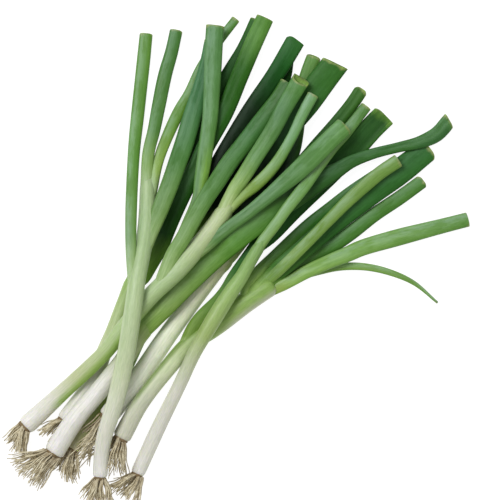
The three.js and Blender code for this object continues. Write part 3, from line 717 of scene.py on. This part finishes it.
print("stage: onion_2")
onion2 = makeShank("onion_2", {
    "route": [(-128, -132, 13), (-114, -110.5, 12.5), (-101, -95, 12), (-91, -83, 12), (-82, -71.5, 12),
              (-73.5, -57, 12), (-65, -46, 12.5)],
    "tones": [(0.0, white), (0.5, white), (0.72, linear(198, 202, 176)), (0.9, linear(156, 176, 110)),
              (1.0, fresh)], "seed": 2})
makeLeaf("onion_2_leaf_2", {
    "route": [(-70, -52, 6), (-60, -43, 6), (-52, -37, 6), (-44, -30, 5.5), (-37, -24, 4)],
    "greensAndShade": [(12, (104, 128, 60)), (36, (86, 114, 44))],
    "seed": 22})
makeLeaf("onion_2_leaf_1", {
    "route": [(-67, -49, 12), (-55, -37, 13), (-40, -21, 14), (-21, -3, 14.5), (-3, 12.3, 15),
              (13, 25, 16), (29.6, 36.3, 17.4), (44.4, 45, 13.8), (56, 51.5, 10), (66, 57.5, 8.5),
              (81, 63, 7), (97.5, 67.1, 6.4), (112, 70.7, 7.8), (122, 75.7, 11), (130, 84.6, 8.8)],
    "greensAndShade": [(20, (124, 152, 84)), (80, (92, 140, 60)), (140, (38, 84, 30)), (190, (62, 110, 56)),
               (240, (72, 120, 66))],
    "seed": 21,
    # the band is painted shade: a dark strip on the top right near the cut end, the shade in the fold where
    # the leaf twists
    "bands": [{"about": [(0.24, 0), (0.3, 0.9), (0.44, 0.5), (0.5, 0)],
               "along": [(-32, 0), (-24, 0.7), (-5, 0.8), (-3, 0)], "tone": linear(34, 80, 38)}],
    "dents": [(0.15, 0.8, 0.3)], "slant": 0.38})
makeTuft("onion_2", onion2, {"lean": -20, "lengths": (20, 29), "spread": 27, "strands": 101,
                             "clumps": 10, "seed": 102})

print("stage: onion_1 shank")
onion1 = makeShank("onion_1", {
    "route": [(-146.5, -115, 12), (-123, -93.5, 10.3), (-93.8, -66, 10), (-81, -49.5, 10.8),
              (-65, -30.5, 11), (-45.5, -11.5, 12.2), (-23, 16, 11.4), (-13.5, 29, 12)],
    "tones": [(0.0, white), (0.12, cream), (0.24, linear(184, 190, 150)), (0.42, linear(170, 190, 138)),
              (0.7, linear(168, 190, 144)), (0.9, linear(190, 202, 160)), (1.0, linear(176, 196, 140))],
    "seed": 1,
    "bands": [{"about": [(0.24, 0), (0.34, 1), (0.6, 1)],
               "along": [(20, 0), (30, 0.9), (84, 0.9), (112, 0.2)],
               "tone": linear(138, 178, 62)},
              {"about": [(0.1, 0.2), (0.2, 1), (0.34, 0)], "along": [(150, 0), (165, 0.2), (186, 0.2)],
               "tone": linear(200, 204, 188)}]})
makeTuft("onion_1", onion1, {"lean": 22, "lengths": (13, 18), "spread": 22, "strands": 86,
                             "clumps": 9, "seed": 101})

print("stage: onion_8")
onion8 = makeShank("onion_8", {
    "route": [(-73.5, -146, 9), (-59.5, -115.5, 9.4), (-45, -86, 8.5), (-36, -66.5, 8.8),
              (-23, -44, 10.3), (-12.5, -27.5, 10), (-5.3, -17, 8.8), (-0.9, -9.1, 8.2), (3, -2.6, 8),
              (9, 7, 7.8)],
    "tones": [(0.0, white), (0.35, cream), (0.58, linear(158, 178, 112)), (0.8, linear(148, 180, 108)),
              (1.0, linear(122, 160, 92))], "seed": 8})
makeLeaf("onion_8_leaf_1", {
    "route": [(3, -2.6, 7), (9, 7, 7.6), (14.2, 13.5, 7.6), (18.2, 18.8, 7), (22.7, 25.2, 7.1),
              (26.9, 30.7, 7.5), (31.5, 36.4, 7.8), (35.2, 41.1, 7.8), (44.9, 55.1, 7.8),
              (54.7, 68.1, 7.8), (61.2, 75.1, 7.7), (76, 94, 7.3)],
    "greensAndShade": [(14, (130, 166, 98)), (50, (112, 156, 88)), (80, (118, 158, 98)), (115, (84, 132, 62))],
    "seed": 81})
makeTuft("onion_8", onion8, {"lean": -26, "lengths": (15, 21), "spread": 19, "strands": 86,
                             "clumps": 9, "seed": 108})

print("stage: leaves of onion_1")
makeLeaf("onion_1_leaf_5", {
    "route": [(-56, -18, 9), (-50, -3.2, 9.4), (-43.9, 6.5, 10), (-36.8, 19.5, 10.3),
              (-29.3, 32.5, 10.8), (-20.8, 45.5, 11.4), (-12.8, 57.7, 11.8), (-3.5, 69.5, 11.8),
              (8, 84.5, 11.5), (18.5, 98, 11.2), (25.2, 109, 11)],
    "greensAndShade": [(20, (128, 160, 98)), (60, (92, 134, 74)), (110, (64, 114, 58)), (145, (66, 110, 50))],
    "seed": 15, "dents": [(0.35, 0.8, 0.22)]})
makeLeaf("onion_1_leaf_4", {
    "route": [(-40, -6, 8.5), (-27.5, 3.5, 8.5), (-20, 9.8, 8), (-12.2, 15.9, 7.8), (-1.7, 23.6, 8),
              (8.4, 31.8, 8.8), (20.8, 42.3, 10.7), (30.6, 50.8, 12.2), (41.4, 61.1, 12.7),
              (54.3, 73.8, 12.3), (62, 81, 12.3)],
    "greensAndShade": [(22, (92, 132, 76)), (70, (86, 130, 76)), (130, (100, 146, 84))],
    "seed": 14, "dents": [(0.2, 0.7, 0.25)], "corners": (1.2, 1.6)})
makeLeaf("onion_1_leaf_3", {
    "route": [(-18, 22, 7), (-5, 35.5, 8), (3.8, 42.2, 8), (16, 55, 7.6), (27, 73, 6.7), (34, 88, 7),
              (41.2, 101.4, 7.5)],
    "greensAndShade": [(12, (160, 186, 106)), (30, (136, 170, 80)), (66, (106, 154, 92)), (95, (110, 156, 102))],
    "seed": 13})
makeLeaf("onion_1_leaf_2", {
    "route": [(-18, 24, 9), (-13.5, 33, 8.5), (-9.2, 40.8, 8.8), (-5.5, 46, 9.6), (-1.6, 52, 9.9),
              (2.7, 59, 10), (7.9, 67.1, 10.3), (14.8, 78, 10.4), (23, 93.7, 10.8), (27.9, 102.2, 11.4),
              (34, 112, 12)],
    "greensAndShade": [(16, (152, 180, 112)), (40, (104, 146, 88)), (76, (78, 122, 70)), (96, (86, 134, 70))],
    "seed": 12, "dents": [(0.3, 0.6, 0.25)], "opened": 4.5, "wall": 0.8, "corners": (0.2, 0.8)})

print("stage: onion_5, in front")
onion5 = makeShank("onion_5", {
    "route": [(-97.5, -147.5, 9.5), (-95, -123.5, 10), (-87, -97.5, 11), (-81, -71.5, 11.5),
              (-76.5, -45.5, 11.5), (-73, -19.5, 11), (-67.5, 13, 11), (-66.5, 39, 10.5), (-67, 48, 9)],
    "tones": [(0.0, white), (0.16, cream), (0.36, linear(200, 210, 178)), (0.55, linear(180, 198, 156)),
              (0.8, linear(162, 186, 140)),
              (1.0, linear(166, 187, 144))], "seed": 5})
makeLeaf("onion_5_leaf_1", {
    "route": [(-76, -20, 6), (-77, 0, 7), (-77, 26, 7.5), (-75.5, 65, 8), (-73, 91, 8.5),
              (-69.5, 123.5, 8.7), (-67.7, 141.5, 8)],
    "greensAndShade": [(30, (104, 142, 78)), (80, (96, 144, 62)), (160, (94, 140, 56))],
    "seed": 51, "corners": (0.6, 0.6)})
makeLeaf("onion_5_leaf_4", {
    "route": [(-68, 2, 9), (-62.5, 16, 10), (-57.2, 29, 11), (-51, 45.3, 11.6), (-46.6, 58.3, 12),
              (-42.2, 71.3, 12.4), (-37.2, 88.5, 12.2), (-31.8, 106.5, 10.8), (-28.6, 120, 9),
              (-25.6, 137, 7.6)],
    "greensAndShade": [(20, (120, 152, 94)), (60, (78, 124, 66)), (110, (66, 118, 80)), (135, (68, 122, 74))],
    "seed": 54, "dents": [(0.1, 0.7, 0.2)]})
makeLeaf("onion_5_leaf_3", {
    "route": [(-63.5, 38, 6), (-59, 60, 7), (-46.8, 89.3, 8), (-39.3, 102, 8), (-32, 118.3, 7.2),
              (-22, 134, 6), (-9, 151, 5.6)],
    "greensAndShade": [(14, (150, 178, 94)), (44, (100, 144, 54)), (105, (84, 134, 54))],
    "seed": 53})
makeLeaf("onion_5_leaf_2", {
    "route": [(-67.5, 42, 7.5), (-66, 63, 8), (-62.5, 78, 8.5), (-59.5, 94, 9), (-55.5, 114, 9),
              (-51, 130, 8.5), (-48, 143.8, 8)],
    "greensAndShade": [(14, (136, 168, 100)), (36, (86, 130, 66)), (95, (72, 120, 58))],
    "seed": 52, "corners": (0.8, 0.8)})
makeTuft("onion_5", onion5, {"lean": -6, "lengths": (14, 20), "spread": 26, "strands": 86,
                             "clumps": 9, "seed": 105})

print("stage: last leaf, over the others")
makeLeaf("onion_1_leaf_1", {
    "route": [(-54.5, -16, 6), (-50.4, -3.2, 6), (-45.8, 6.5, 6), (-40.1, 19.5, 6.2),
              (-36.3, 27.5, 6.8), (-33.6, 34.5, 7.6), (-31.9, 45.5, 8.8), (-29.8, 58.5, 9.6),
              (-28, 71.5, 9.8), (-26.1, 84.5, 10.2), (-25.2, 97.5, 10.2), (-24.4, 113.8, 11.2),
              (-23.7, 130, 12), (-22.7, 146.4, 11.8)],
    "greensAndShade": [(20, (124, 158, 84)), (60, (86, 132, 54)), (110, (90, 136, 78)), (155, (88, 134, 84))],
    "seed": 11,
    "bands": [{"about": [(0.2, 0), (0.3, 1), (0.42, 1)], "along": [(34, 0), (44, 0.6), (70, 0.6), (92, 0)],
               "tone": linear(138, 182, 74)}], "dents": [(0.3, 0.6, 0.25)], "slant": 0.05})

print("stage: floor, lights and camera")
# metres and watts: the camera sees photoWidth at the height of the bunch's middle layers
studio = {"floorSize": 3, "floorGlow": 0.93, "worldGlow": 0.44, "cameraHeight": 3.0, "framedHeight": 0.014}
lights = {"key": {"place": (-0.8, 0.8, 1.7), "size": 0.9, "power": 29},
          "fill": {"place": (1.2, -0.6, 1.6), "size": 1.4, "power": 4}}


def makeFloor():
    bm = bmesh.new()
    bmesh.ops.create_grid(bm, x_segments=1, y_segments=1, size=studio["floorSize"])
    mesh = bpy.data.meshes.new("floor")
    bm.to_mesh(mesh)
    bm.free()
    floor = bpy.data.objects.new("floor", mesh)
    bpy.context.collection.objects.link(floor)
    floor.location.z = -0.0002
    material, tree, shader = newMaterial("pale floor")
    shader.inputs["Base Color"].default_value = (0.2, 0.2, 0.2, 1)
    shader.inputs["Roughness"].default_value = 0.9
    shader.inputs["Specular IOR Level"].default_value = 0.1
    shader.inputs["Emission Color"].default_value = (1, 1, 1, 1)
    shader.inputs["Emission Strength"].default_value = studio["floorGlow"]
    mesh.materials.append(material)


def makeLight(name, facts):
    light = bpy.data.lights.new(name, "AREA")
    light.size = facts["size"]
    light.energy = facts["power"]
    holder = bpy.data.objects.new(name, light)
    spot = Matrix.Rotation(layout["turn"], 3, "Z") @ Vector(facts["place"])
    holder.location = spot
    holder.rotation_euler = (-spot).to_track_quat("-Z", "Y").to_euler()
    bpy.context.collection.objects.link(holder)


def makeWorld():
    world = bpy.data.worlds.new("studio")
    world.use_nodes = True
    world.node_tree.nodes["Background"].inputs["Color"].default_value = (1, 1, 1, 1)
    world.node_tree.nodes["Background"].inputs["Strength"].default_value = studio["worldGlow"]
    bpy.context.scene.world = world


def makeCamera():
    distance = studio["cameraHeight"]
    lens = bpy.data.cameras.new("straight down")
    lens.sensor_width = 36
    lens.lens = lens.sensor_width * (distance - studio["framedHeight"]) / (layout["photoWidth"] / 1000)
    lens.clip_end = 20
    holder = bpy.data.objects.new("straight down", lens)
    middle = intoFrame(0, 0)
    holder.location = (middle.x, middle.y, distance)
    holder.rotation_euler = (0, 0, layout["turn"])
    bpy.context.collection.objects.link(holder)
    bpy.context.scene.camera = holder


makeFloor()
for name, facts in lights.items():
    makeLight(name, facts)
makeWorld()
makeCamera()
bpy.context.scene.view_settings.view_transform = "Standard"

print("stage: done")
